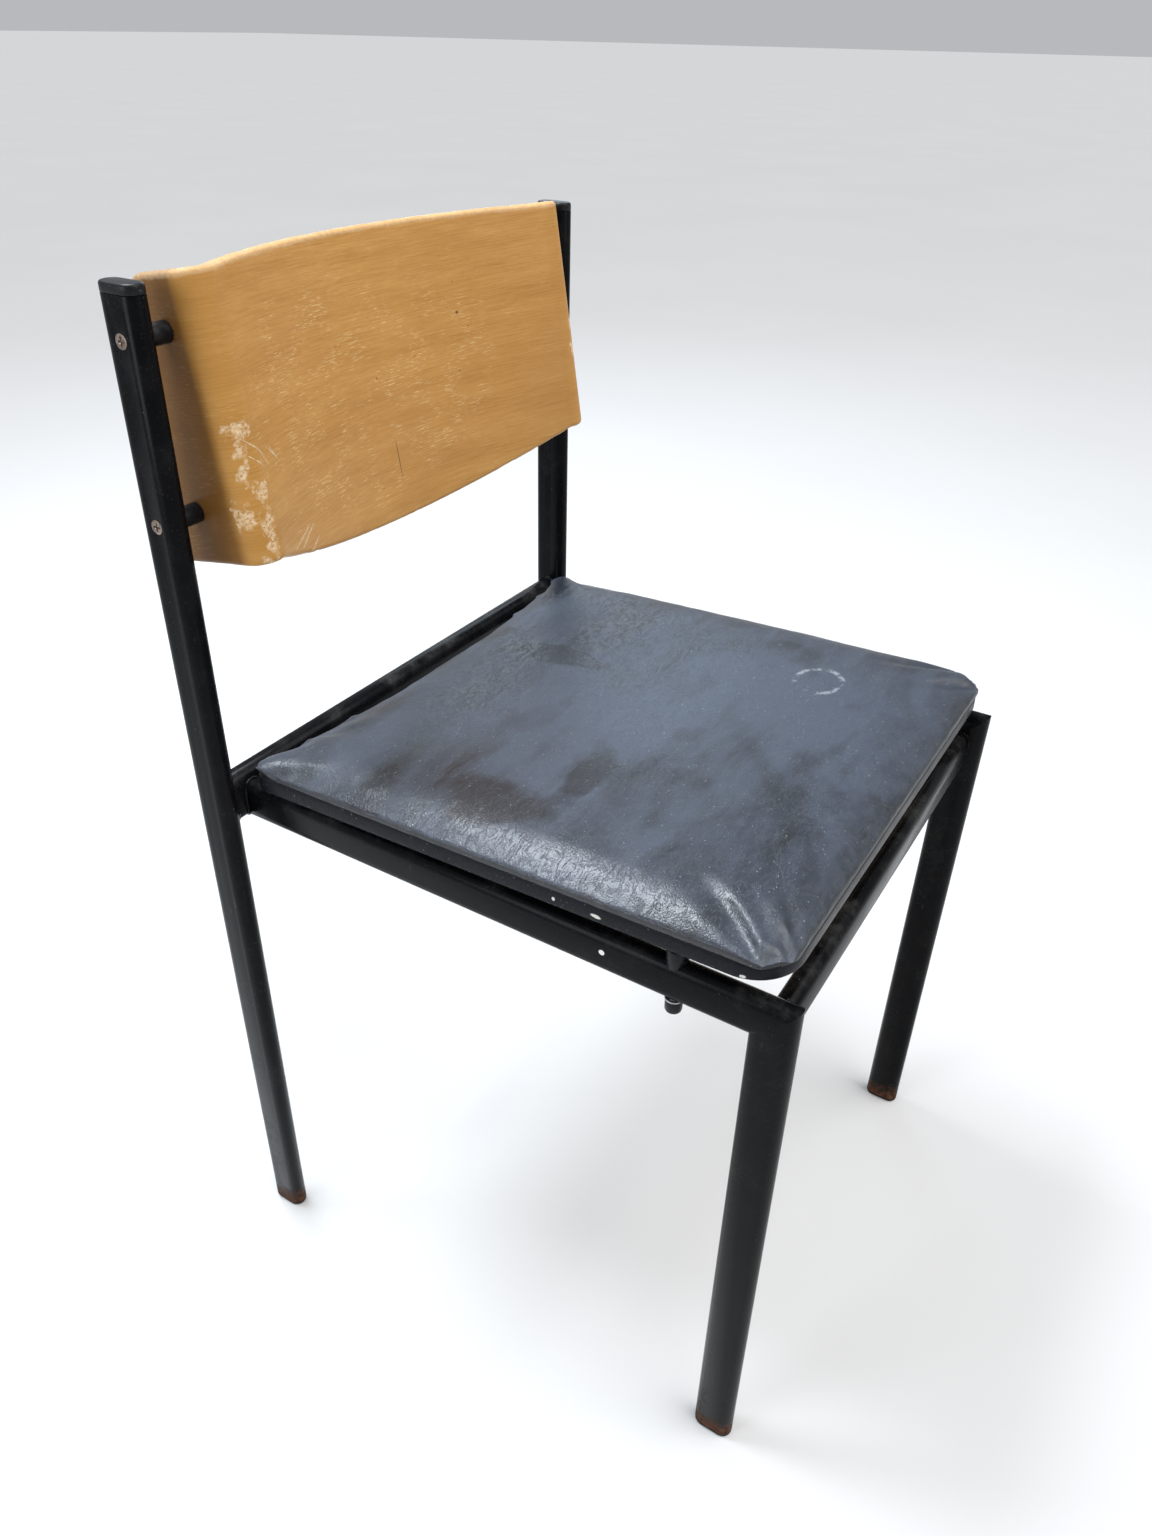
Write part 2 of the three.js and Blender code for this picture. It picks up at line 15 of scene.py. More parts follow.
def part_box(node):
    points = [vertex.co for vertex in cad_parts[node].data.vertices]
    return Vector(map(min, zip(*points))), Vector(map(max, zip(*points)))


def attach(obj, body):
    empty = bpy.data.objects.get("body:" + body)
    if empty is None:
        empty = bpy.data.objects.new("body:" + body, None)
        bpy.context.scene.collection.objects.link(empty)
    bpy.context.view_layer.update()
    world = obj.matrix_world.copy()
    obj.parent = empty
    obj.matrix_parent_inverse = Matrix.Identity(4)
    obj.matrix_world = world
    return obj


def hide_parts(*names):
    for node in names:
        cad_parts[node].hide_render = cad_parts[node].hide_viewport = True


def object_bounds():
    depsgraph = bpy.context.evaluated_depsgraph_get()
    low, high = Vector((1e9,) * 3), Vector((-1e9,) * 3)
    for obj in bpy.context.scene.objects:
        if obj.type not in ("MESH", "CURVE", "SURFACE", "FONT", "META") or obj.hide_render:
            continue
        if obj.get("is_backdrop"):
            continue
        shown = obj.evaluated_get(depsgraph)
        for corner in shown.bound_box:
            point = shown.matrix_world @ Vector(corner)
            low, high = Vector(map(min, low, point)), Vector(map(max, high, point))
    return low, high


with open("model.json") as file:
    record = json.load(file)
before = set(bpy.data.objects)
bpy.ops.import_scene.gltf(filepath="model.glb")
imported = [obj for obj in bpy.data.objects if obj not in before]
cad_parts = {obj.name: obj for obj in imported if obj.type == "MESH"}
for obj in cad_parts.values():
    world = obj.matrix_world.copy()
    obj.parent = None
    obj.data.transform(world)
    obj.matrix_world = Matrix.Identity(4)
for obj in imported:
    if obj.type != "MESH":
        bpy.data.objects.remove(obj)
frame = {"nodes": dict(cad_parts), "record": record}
cad_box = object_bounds()

MM = 0.001
BODY = "root"
JOINT_GAP = 0.3 * MM  # clearance between touching CAD pieces
SIDES = {"right": -1, "left": 1}


# ---- The frame's own measures ----
def middle_and_size(node):
    low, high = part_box(node)
    return (low + high) / 2, high - low


UPRIGHT, _ = middle_and_size("rear_upright_left")
LEG, LEG_SIZE = middle_and_size("front_leg_left")
RAIL, RAIL_SIZE = middle_and_size("side_rail_left")
REAR_BAR, REAR_BAR_SIZE = middle_and_size("rear_crossbar")
FRONT_BAR, FRONT_BAR_SIZE = middle_and_size("front_crossbar")
PANEL_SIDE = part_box("backrest_panel")[1].x
COVER_LOW, COVER_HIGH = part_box("seat_cover")

# ---- Backrest panel, measured in its own leaning plane ----
PANEL_PIVOT_Z = 701 * MM
PANEL_TILT = math.radians(9.6)
PANEL_THICK = 10 * MM
PANEL_FRONT_Y = -38.2 * MM
PANEL_BEND = 15 * MM
PANEL_HALF_ARC = math.radians(30)
PANEL_TOP = 90 * MM
PANEL_TOP_FALL = 5 * MM
PANEL_TOP_CURVE = 0.157  # how fast the top edge falls, per metre squared along the panel
PLY_PITCH = 1.45 * MM
PANEL_BOTTOM = -114 * MM
PANEL_BOTTOM_RISE = 26.5 * MM
PANEL_FLANGE_REAR = 28 * MM
PANEL_TOP_CORNER = 10 * MM
PANEL_BOTTOM_CORNER = 14 * MM
PANEL_EDGE_ROUND = 3.5 * MM

# ---- Seat pad, measured in its own sloping plane ----
SEAT_HALF_WIDTH = COVER_HIGH.x
SEAT_DEPTH = 402.5 * MM
SEAT_SLOPE = math.radians(1.59)
SEAT_REAR_CORNER = 12 * MM
SEAT_FRONT_CORNER = 32 * MM
SEAT_REAR_BOW = 17 * MM
SEAT_BEHIND = -20 * MM  # the pad's rear corners, from the middle of the uprights
SEAT_CREASE = 12 * MM  # height of the crease where the foam meets the board
SEAT_CROWN = 14.2 * MM
SEAT_REAR_LOSS = 0.6
SEAT_REAR_REACH = 90 * MM
RING_MARK = Vector((101, 104)) * MM  # from the seat's middle and from its front edge
RING_RADII = Vector((20.5, 17.5)) * MM
EDGE_CHIP_Z = 463.5 * MM
RAIL_CHIP_Z = 437 * MM
RAIL_CHIP_FORWARD = 307 * MM  # from the middle of the uprights


# ---- Mesh helpers ----
def ring_faces(ring_count, ring_size, loop=False):
    """Quads between rings of points; loop joins the last ring to the first."""
    faces = []
    for ring in range(ring_count if loop else ring_count - 1):
        here = ring * ring_size
        there = (ring + 1) % ring_count * ring_size
        for i in range(ring_size):
            j = (i + 1) % ring_size
            faces.append((here + i, here + j, there + j, there + i))
    return faces


def skin(name, rings, loop=False):
    """A closed mesh through rings of points; open ends close with a fan."""
    size = len(rings[0])
    points = [point for ring in rings for point in ring]
    faces = ring_faces(len(rings), size, loop)
    if not loop:
        for first, ring in ((0, rings[0]), ((len(rings) - 1) * size, rings[-1])):
            points.append(sum((Vector(p) for p in ring), Vector()) / size)
            hub = len(points) - 1
            faces += [(hub, first + i, first + (i + 1) % size) for i in range(size)]
    mesh = bpy.data.meshes.new(name)
    mesh.from_pydata([tuple(p) for p in points], [], faces)
    return outward(mesh)


def outward(mesh):
    body = bmesh.new()
    body.from_mesh(mesh)
    bmesh.ops.recalc_face_normals(body, faces=body.faces)
    body.to_mesh(mesh)
    body.free()
    return mesh


def joined(name, meshes):
    body = bmesh.new()
    for mesh in meshes:
        body.from_mesh(mesh)
    whole = bpy.data.meshes.new(name)
    body.to_mesh(whole)
    body.free()
    return whole


def rod(path, radius, closed=False, sides=8):
    """Mesh of a round rod along a path; radius is a number or a function of the index."""
    count = len(path)
    rings = []
    side = None
    for i, point in enumerate(path):
        before = path[i - 1] if i or closed else path[0]
        after = path[(i + 1) % count] if i + 1 < count or closed else path[-1]
        along = (after - before).normalized()
        if side is None:
            side = along.orthogonal().normalized()
        side = (side - along * side.dot(along)).normalized()
        up = along.cross(side)
        size = radius(i) if callable(radius) else radius
        turns = [2 * math.pi * k / sides for k in range(sides)]
        rings.append([point + size * (math.cos(a) * side + math.sin(a) * up) for a in turns])
    return skin("rod", rings, closed)


def piece(name, mesh, material, slot, *nodes, sharp=40):
    """Adds a mesh as a piece of the chair, with smooth shading between its sharp edges."""
    obj = bpy.data.objects.new(name, mesh)
    bpy.context.scene.collection.objects.link(obj)
    mesh.materials.clear()
    mesh.materials.append(material)
    mesh.polygons.foreach_set("use_smooth", [True] * len(mesh.polygons))
    mesh.set_sharp_from_angle(angle=math.radians(sharp))
    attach(obj, BODY)
    if nodes:
        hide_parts(*nodes)
    return obj


def on_mitre(point):
    """Whether a point lies in the 45 degree joint between a front leg and a side rail."""
    rail_z = RAIL.z + RAIL_SIZE.z / 2 - LEG_SIZE.y / 2
    return abs((point.z - rail_z) + (point.y - LEG.y)) < 0.5 * MM


def refine(node, material, slot, bevel=0.35 * MM):
    """A copy of a CAD node with welded points, small rounded edges and smooth shading. The
    mitred joints stay sharp and close up, because their welds are ground flush."""
    body = bmesh.new()
    body.from_mesh(frame["nodes"][node].data)
    bmesh.ops.remove_doubles(body, verts=body.verts, dist=0.002 * MM)
    bmesh.ops.dissolve_limit(
        body, angle_limit=math.radians(0.5), verts=body.verts, edges=body.edges
    )
    mitred = node.startswith(("front_leg", "side_rail"))
    ends = {v for v in body.verts if mitred and on_mitre(v.co)}
    if node.startswith("side_rail"):
        for vertex in ends:
            vertex.co.y -= JOINT_GAP
    edges = [
        edge
        for edge in body.edges
        if len(edge.link_faces) == 2 and edge.calc_face_angle() > math.radians(40)
        and not ends.issuperset(edge.verts)
    ]
    bmesh.ops.bevel(
        body, geom=edges, offset=bevel, segments=2, profile=0.5,
        affect="EDGES", clamp_overlap=True,
    )
    bmesh.ops.triangulate(body, faces=[f for f in body.faces if len(f.verts) > 4])
    mesh = bpy.data.meshes.new(node + "_surface")
    body.to_mesh(mesh)
    body.free()
    return piece(node + "_surface", mesh, material, slot, node)


# ---- Node materials ----
class Finish:
    """A node material. Sockets passed as values are linked, and plain values are set."""

    def __init__(self, name):
        self.material = bpy.data.materials.new(name)
        self.material.use_nodes = True
        self.tree = self.material.node_tree
        self.shader = self.tree.nodes["Principled BSDF"]
        self.place = self.add("TexCoord").outputs["Object"]

    def add(self, kind, inputs=None, **settings):
        made = self.tree.nodes.new("ShaderNode" + kind)
        for key, value in settings.items():
            setattr(made, key, value)
        for key, value in (inputs or {}).items():
            self.feed(made.inputs[key], value)
        return made

    def feed(self, socket, value):
        if isinstance(value, bpy.types.NodeSocket):
            self.tree.links.new(value, socket)
        else:
            socket.default_value = value

    def set(self, **inputs):
        for key, value in inputs.items():
            self.feed(self.shader.inputs[key.replace("_", " ")], value)

    def scaled(self, vector, scale, turn=(0, 0, 0)):
        angles = tuple(math.radians(a) for a in turn)
        inputs = {"Vector": vector, "Scale": scale, "Rotation": angles}
        return self.add("Mapping", inputs).outputs["Vector"]

    def noise(self, scale, detail=4.0, roughness=0.55, vector=None, distortion=0.0):
        inputs = {
            "Vector": vector or self.place, "Scale": scale, "Detail": detail,
            "Roughness": roughness, "Distortion": distortion,
        }
        return self.add("TexNoise", inputs).outputs["Fac"]

    def cells(self, scale, feature="F1"):
        inputs = {"Vector": self.place, "Scale": scale}
        return self.add("TexVoronoi", inputs, feature=feature).outputs["Distance"]

    def math(self, operation, a, b=0.0, clamp=False):
        made = self.add("Math", {0: a, 1: b}, operation=operation, use_clamp=clamp)
        return made.outputs[0]

    def above(self, value, low, high):
        """0 below low, 1 above high, smooth between them."""
        inputs = {"Value": value, "From Min": low, "From Max": high}
        return self.add("MapRange", inputs, interpolation_type="SMOOTHSTEP").outputs[0]

    def ramp(self, value, *stops):
        made = self.add("ValToRGB", {"Fac": value})
        band = made.color_ramp
        while len(band.elements) < len(stops):
            band.elements.new(0.5)
        for element, (position, color) in zip(band.elements, stops):
            element.position = position
            element.color = (*color, 1)
        return made.outputs["Color"]

    def blend(self, amount, a, b, mode="MIX"):
        made = self.add("Mix", data_type="RGBA", blend_type=mode)
        for socket, value in ((0, amount), (6, a), (7, b)):
            if isinstance(value, tuple):
                value = (*value, 1)
            self.feed(made.inputs[socket], value)
        return made.outputs[2]

    def split(self, vector):
        return self.add("SeparateXYZ", {"Vector": vector}).outputs

    def spot(self, vector, centre, reach, ragged=0.35, scale=90.0):
        """1 inside an ellipsoid round a point, fading to 0, with a ragged border."""
        offset = self.add("VectorMath", {0: vector, 1: centre}, operation="SUBTRACT")
        sized = self.add("VectorMath", {0: offset.outputs[0], 1: reach}, operation="DIVIDE")
        distance = self.add("VectorMath", {0: sized.outputs[0]}, operation="LENGTH")
        rough = self.math("MULTIPLY", self.noise(scale, 3, vector=vector), 2 * ragged)
        total = self.math("ADD", distance.outputs["Value"], rough)
        return self.above(total, 1 + ragged, 0.8 + ragged * 0.7)

    def bump(self, *heights):
        """Chains (height, distance in mm) pairs into one normal."""
        normal = None
        for height, depth in heights:
            inputs = {"Height": height, "Distance": depth * MM, "Strength": 1.0}
            if normal:
                inputs["Normal"] = normal
            normal = self.add("Bump", inputs).outputs["Normal"]
        self.set(Normal=normal)


def largest(finish, values):
    total = values[0]
    for value in values[1:]:
        total = finish.math("MAXIMUM", total, value)
    return total


def black_lacquer():
    """Sprayed black lacquer on steel: dusty, with thin scratches, chips and rust at the feet."""
    f = Finish("black_lacquer")
    z = f.split(f.place)[2]
    dust = f.above(f.noise(26, 6, 0.7), 0.46, 0.8)
    grit = f.above(f.noise(900, 2, 0.5), 0.66, 0.78)
    upward = f.above(f.split(f.add("NewGeometry").outputs["Normal"])[2], 0.25, 1.0)
    scratches = []
    for turn, scale, start in (((18, 12, 9), 330, 0.735), ((-31, 24, 50), 420, 0.75)):
        lines = f.scaled(f.place, (1.0, 1.0, 0.055), turn)
        scratches.append(f.above(f.noise(scale, 2, 0.5, lines), start, start + 0.03))
    patchy = f.above(f.noise(17, 3), 0.5, 0.62)
    scratch = f.math("MULTIPLY", largest(f, scratches), patchy)
    chip_size = f.math("MULTIPLY", f.noise(30, 3), 0.26)
    chips = f.math("LESS_THAN", f.cells(95), f.math("SUBTRACT", chip_size, 0.115))
    near_foot = f.math("ADD", z, f.math("MULTIPLY", f.noise(120, 5, 0.7), -34 * MM))
    rust = f.above(near_foot, 6 * MM, -11 * MM)
    paint_chip = f.spot(
        f.place, (-RAIL.x - RAIL_SIZE.x / 2, UPRIGHT.y - RAIL_CHIP_FORWARD, RAIL_CHIP_Z),
        (3 * MM, 2.2 * MM, 2.2 * MM), 0.15,
    )
    base = f.ramp(
        f.noise(9, 4), (0.3, (0.002, 0.0021, 0.0027)), (0.75, (0.0036, 0.0037, 0.0044))
    )
    settled = f.math("MULTIPLY", dust, f.math("ADD", f.math("MULTIPLY", upward, 0.16), 0.035))
    color = f.blend(settled, base, (0.2, 0.2, 0.19))
    color = f.blend(f.math("MULTIPLY", grit, 0.12), color, (0.32, 0.31, 0.3))
    color = f.blend(f.math("MULTIPLY", scratch, 0.42), color, (0.26, 0.25, 0.23))
    color = f.blend(f.math("MULTIPLY", chips, 0.55), color, (0.17, 0.14, 0.12))
    rusty = f.ramp(f.noise(260, 4), (0.35, (0.035, 0.016, 0.009)), (0.7, (0.16, 0.065, 0.03)))
    color = f.blend(f.math("MULTIPLY", rust, 0.85), color, rusty)
    color = f.blend(paint_chip, color, (0.75, 0.73, 0.68))
    dulled = f.math("ADD", f.math("MULTIPLY", dust, 0.16), f.math("MULTIPLY", rust, 0.4))
    marked = f.math("ADD", dulled, f.math("MULTIPLY", scratch, 0.25))
    f.set(Base_Color=color, Roughness=f.math("ADD", marked, 0.22), Specular_IOR_Level=0.07)
    worn = f.math("ADD", chips, f.math("MULTIPLY", scratch, 0.4))
    f.bump((f.noise(420, 3), 0.05), (f.math("SUBTRACT", 1.0, worn), 0.12))
    return f.material


def black_plastic():
    """Moulded black plastic with a fine texture, pale specks and a little dust."""
    f = Finish("black_plastic")
    dust = f.above(f.noise(60, 5, 0.7), 0.5, 0.8)
    specks = f.above(f.noise(700, 2), 0.68, 0.76)
    base = f.ramp(f.noise(30, 3), (0.3, (0.004, 0.0042, 0.005)), (0.7, (0.007, 0.0074, 0.0085)))
    color = f.blend(f.math("MULTIPLY", dust, 0.12), base, (0.24, 0.23, 0.22))
    color = f.blend(f.math("MULTIPLY", specks, 0.3), color, (0.35, 0.34, 0.33))
    rough = f.math("ADD", f.math("MULTIPLY", dust, 0.2), 0.36)
    f.set(Base_Color=color, Roughness=rough, Specular_IOR_Level=0.18)
    f.bump((f.noise(1400, 2), 0.03), (f.noise(90, 3), 0.1))
    return f.material


def bend_patches(rng):
    """Bare patches down the bends, from the middle of the panel to its bottom: (place along
    the panel, height, half length, half height), all in mm. The right bend has more."""
    bend, step = 194, 12
    for side, rows in ((SIDES["right"], 8), (SIDES["left"], 5)):
        for row in range(rows):
            along = side * (bend + rng.uniform(-9, 9))
            height = -step * row - rng.uniform(0, 8)
            yield along, height, rng.uniform(3, 6), rng.uniform(3, 6) + 0.5 * row


def scrapes(rng):
    """Long thin marks beside the right bend and near the bottom edge: the same four, then
    the turn in degrees."""
    for _ in range(5):
        place = -rng.uniform(155, 185), -rng.uniform(5, 32)
        yield *place, rng.uniform(9, 17), rng.uniform(0.5, 0.8), -rng.uniform(35, 60)
    for _ in range(3):
        place = -rng.uniform(115, 160), -rng.uniform(84, 98)
        yield *place, rng.uniform(14, 20), rng.uniform(0.8, 1.2), rng.uniform(10, 24)


def dark_marks(rng):
    """A knot, a long upright scratch and a scatter of specks, as the same four."""
    yield 85, 20, 1.7, 1.4
    yield 0, -70, 0.5, 17
    for _ in range(6):
        size = rng.uniform(0.5, 0.9)
        yield rng.uniform(-60, 100), rng.uniform(-40, 60), size, size


def beech_ply():
    """Rotary-cut beech under honey lacquer. The grain attribute holds the place along the
    panel, the height and the depth behind the front face."""
    f = Finish("beech_ply")
    grain = f.add("Attribute", attribute_name="grain").outputs["Vector"]
    along, height, depth = f.split(grain)

    figure = f.noise(1.0, 5, 0.55, f.scaled(grain, (7, 60, 30)), 0.25)
    fibre = f.noise(1.0, 6, 0.65, f.scaled(grain, (28, 900, 60)))
    fleck = f.noise(1.0, 2, 0.5, f.scaled(grain, (150, 1500, 60)))
    cloud = f.noise(8, 3, 0.5, grain)
    color = f.ramp(
        f.math("ADD", f.math("MULTIPLY", figure, 0.42), f.math("MULTIPLY", fibre, 0.58)),
        (0.28, (0.33, 0.15, 0.032)), (0.48, (0.47, 0.236, 0.062)), (0.72, (0.6, 0.34, 0.11)),
    )
    flecked = f.math("MULTIPLY", f.above(fleck, 0.6, 0.72), 0.35)
    color = f.blend(flecked, color, (0.25, 0.11, 0.03))
    clouded = f.math("MULTIPLY", f.above(cloud, 0.35, 0.75), 0.3)
    color = f.blend(clouded, color, (0.42, 0.2, 0.07))
    # Painted shade: the face turns darker and more saturated towards the bends.
    bend_shade = f.above(f.math("ABSOLUTE", along), 172 * MM, 190 * MM)
    color = f.blend(f.math("MULTIPLY", bend_shade, 0.45), color, (0.36, 0.17, 0.03))

    # Painted shade: the panel goes dark round the ends of the bends and over the flanges beside the
    # uprights.
    flange_shade = f.above(f.math("ABSOLUTE", along), 204 * MM, 217 * MM)
    color = f.blend(f.math("MULTIPLY", flange_shade, 0.7), color, (0.1, 0.036, 0.009))

    strokes = []
    for turn, scale, start in ((-14, 1150, 0.6), (-22, 900, 0.63), (-6, 1400, 0.62)):
        lines = f.scaled(grain, (0.07, 1.0, 1.0), (0, 0, turn))
        strokes.append(f.above(f.noise(scale, 2, 0.5, lines), start, start + 0.07))
    rubbed = f.spot(grain, (-35 * MM, -18 * MM, 0), (175 * MM, 88 * MM, 60 * MM), 0.5, 22)
    stroke = f.math("MULTIPLY", largest(f, strokes), f.math("ADD", rubbed, 0.18, True))
    stroke = f.math("MULTIPLY", stroke, f.above(f.noise(38, 3, 0.6, grain), 0.42, 0.6))
    color = f.blend(f.math("MULTIPLY", stroke, 0.5), color, (0.86, 0.64, 0.33))

    rng = random.Random(11)
    worn = [
        f.spot(grain, (a * MM, b * MM, 0), (1.5 * c * MM, 1.5 * d * MM, 30 * MM), 1.5, 170)
        for a, b, c, d in bend_patches(rng)
    ]
    for a, b, c, d, turn in scrapes(rng):
        offset = f.add("VectorMath", {0: grain, 1: (a * MM, b * MM, 0)}, operation="SUBTRACT")
        turned = f.scaled(offset.outputs[0], (1, 1, 1), (0, 0, -turn))
        worn.append(f.spot(turned, (0, 0, 0), (c * MM, d * MM, 30 * MM), 0.4, 260))
    on_front = f.above(depth, 6 * MM, 4.5 * MM)
    broken = f.above(f.noise(520, 3, 0.6, grain), 0.36, 0.5)
    bare = f.math("MULTIPLY", largest(f, worn), f.math("MULTIPLY", on_front, broken))

    top = f.math("ADD", PANEL_TOP - PANEL_EDGE_ROUND, f.math("MULTIPLY", fibre, -0.6 * MM))
    drop = f.math("MULTIPLY", f.math("POWER", f.math("ABSOLUTE", along), 2.0), PANEL_TOP_CURVE)
    top = f.math("SUBTRACT", top, f.math("MINIMUM", drop, PANEL_TOP_FALL))
    ragged = f.math("MULTIPLY", f.noise(75, 4, 0.6, grain), 3.4 * MM)
    ragged_height = f.math("ADD", height, ragged)
    top_wear = f.above(f.math("SUBTRACT", ragged_height, top), 0.6 * MM, 2.6 * MM)
    edge = f.add("Attribute", attribute_name="edge").outputs["Fac"]
    edge_wear = f.above(f.math("ADD", edge, f.noise(140, 4, 0.6, grain)), 1.44, 1.6)
    worn_edges = f.math("MULTIPLY", edge_wear, 0.75), f.math("MULTIPLY", top_wear, 0.4)
    pale = largest(f, [bare, *worn_edges])
    raw = f.ramp(f.noise(330, 4, 0.6, grain), (0.3, (0.55, 0.36, 0.19)), (0.7, (0.8, 0.64, 0.43)))
    color = f.blend(f.math("MULTIPLY", pale, 0.82), color, raw)

    plies = f.math("SINE", f.math("MULTIPLY", depth, 2 * math.pi / PLY_PITCH))
    on_edge = f.above(edge, 0.72, 0.98)
    ply_line = f.math("MULTIPLY", f.above(plies, -0.1, 0.7), f.math("MULTIPLY", on_edge, 0.42))
    color = f.blend(ply_line, color, (0.2, 0.09, 0.03))
    dark = [
        f.spot(grain, (a * MM, b * MM, 0), (c * MM, d * MM, 30 * MM), 0.3, 400)
        for a, b, c, d in dark_marks(rng)
    ]
    color = f.blend(f.math("MULTIPLY", largest(f, dark), 0.75), color, (0.07, 0.03, 0.012))

    rough = f.math("ADD", f.math("MULTIPLY", pale, 0.34), f.math("MULTIPLY", cloud, 0.16))
    f.set(Base_Color=color, Roughness=f.math("ADD", rough, 0.3), Specular_IOR_Level=0.18)
    f.bump(
        (fibre, 0.03), (f.math("SUBTRACT", 1.0, stroke), 0.05),
        (f.math("SUBTRACT", 1.0, pale), 0.18),
    )
    return f.material


def raw_ply():
    """The unfinished underside of the seat board."""
    f = Finish("raw_ply")
    grain = f.scaled(f.place, (260, 14, 60))
    fibre = f.noise(1.0, 6, 0.65, grain)
    stain = f.above(f.noise(14, 4), 0.5, 0.75)
    color = f.ramp(fibre, (0.3, (0.34, 0.21, 0.11)), (0.7, (0.58, 0.42, 0.26)))
    color = f.blend(f.math("MULTIPLY", stain, 0.4), color, (0.25, 0.16, 0.09))
    f.set(Base_Color=color, Roughness=f.math("ADD", f.math("MULTIPLY", fibre, 0.2), 0.65))
    f.bump((fibre, 0.15))
    return f.material


def black_vinyl(name, shine, dust_and_sheen_strength):
    """Grained black vinyl under a blue-grey film, partly dust and partly a painted reflection of
    cool light, wiped in places.
    """
    f = Finish(name)
    x, y, z = f.split(f.place)
    front, rear = COVER_LOW.y, COVER_HIGH.y
    depth = rear - front

    def mark(side, back, reach_x, reach_y, ragged=0.4, scale=14.0):
        """A soft patch: side from -1 to 1 across the seat, back from 0 to 1 front to rear."""
        centre = (side * SEAT_HALF_WIDTH, front + back * depth, COVER_HIGH.z)
        return f.spot(f.place, centre, (reach_x * MM, reach_y * MM, 90 * MM), ragged, scale)

    # Dust and painted reflection: this film stands for dust and for the sheen of cool light on the
    # vinyl.
    dust_and_sheen_noise = f.noise(7, 5, 0.6, distortion=0.8)
    smear = f.noise(1.0, 4, 0.6, f.scaled(f.place, (9, 34, 10), (0, 0, 32)), 0.5)
    dust_and_sheen = f.math("ADD", f.math("MULTIPLY", dust_and_sheen_noise, 0.6), f.math("MULTIPLY", smear, 0.4))
    dust_and_sheen = f.above(dust_and_sheen, 0.34, 0.62)
    # A brighter patch of the dust and painted sheen in the middle of the seat.
    dust_and_sheen_patch = f.math("SUBTRACT", mark(-0.1, 0.42, 150, 165, 0.5), mark(-0.3, 0.3, 105, 80, 0.5))
    dust_and_sheen = f.math("ADD", dust_and_sheen, f.math("MULTIPLY", dust_and_sheen_patch, 0.25))
    wiped = largest(f, [
        mark(0.2, 0.76, 17, 62, 0.5, 30), mark(0.3, 0.95, 20, 28, 0.5, 30),
        mark(-0.78, 0.55, 34, 40, 0.6, 20), mark(-0.5, 0.46, 42, 16, 0.6, 40),
    ])
    unwiped = f.math("SUBTRACT", 1.0, f.math("MULTIPLY", wiped, 0.8))
    dust_and_sheen = f.math("MULTIPLY", dust_and_sheen, unwiped, True)

    grain = f.cells(820, feature="SMOOTH_F1")
    pebble = f.above(grain, 0.1, 0.62)
    specks = f.above(f.noise(640, 2, 0.5), 0.715, 0.75)
    dots = f.math("LESS_THAN", f.cells(130), 0.055)
    specks = f.math("MAXIMUM", specks, f.math("MULTIPLY", dots, 0.8))

    across = f.math("MULTIPLY", f.math("SUBTRACT", x, RING_MARK.x), 1 / RING_RADII.x)
    forward = f.math("SUBTRACT", y, front + RING_MARK.y)
    forward = f.math("MULTIPLY", forward, 1 / RING_RADII.y)
    squared = f.math("ADD", f.math("POWER", across, 2.0), f.math("POWER", forward, 2.0))
    off_ring = f.math("ABSOLUTE", f.math("SUBTRACT", f.math("SQRT", squared), 1.0))
    broken = f.above(f.noise(150, 4, 0.7), 0.46, 0.62)
    ring_mark = f.math("MULTIPLY", f.above(off_ring, 0.17, 0.03), broken)
    on_top = f.above(z, COVER_LOW.z + 16 * MM, COVER_LOW.z + 18 * MM)
    ring_mark = f.math("MULTIPLY", ring_mark, on_top)

    chips = largest(f, [
        f.spot(f.place, (-SEAT_HALF_WIDTH, front + at * MM, EDGE_CHIP_Z),
               (5 * MM, size * MM, 1.6 * MM), 0.4, 300)
        for at, size in ((120, 4), (25, 2.5), (150, 1.2))
    ])
    folds = f.noise(1.0, 5, 0.7, f.scaled(f.place, (60, 110, 40), (0, 0, 24)), 1.5)
    fine_folds = f.above(f.math("ABSOLUTE", f.math("SUBTRACT", folds, 0.5)), 0.0, 0.035)

    base = f.ramp(dust_and_sheen_noise, (0.3, (0.003, 0.0036, 0.0056)), (0.7, (0.005, 0.0062, 0.0098)))
    upward = f.above(f.split(f.add("NewGeometry").outputs["Normal"])[2], 0.35, 0.95)
    # Painted reflection over real dust: the blue-tinted film lies only on upward faces, as the
    # sheen of overhead light.
    dust_and_sheen_share = f.math("MULTIPLY", dust_and_sheen, f.math("MULTIPLY", upward, dust_and_sheen_strength))
    color = f.blend(dust_and_sheen_share, base, (0.085, 0.112, 0.165))
    color = f.blend(f.math("MULTIPLY", specks, 0.5), color, (0.45, 0.5, 0.55))
    color = f.blend(f.math("MULTIPLY", ring_mark, 0.36), color, (0.5, 0.53, 0.56))
    color = f.blend(f.math("MULTIPLY", chips, 0.9), color, (0.72, 0.7, 0.64))
    rough = f.math("ADD", f.math("MULTIPLY", dust_and_sheen, 0.12), f.math("MULTIPLY", dust_and_sheen_noise, 0.1))
    f.set(Base_Color=color, Roughness=f.math("ADD", rough, 0.25), Specular_IOR_Level=shine)
    f.bump((pebble, 0.055), (fine_folds, 0.06), (f.noise(260, 3), 0.06))
    return f.material


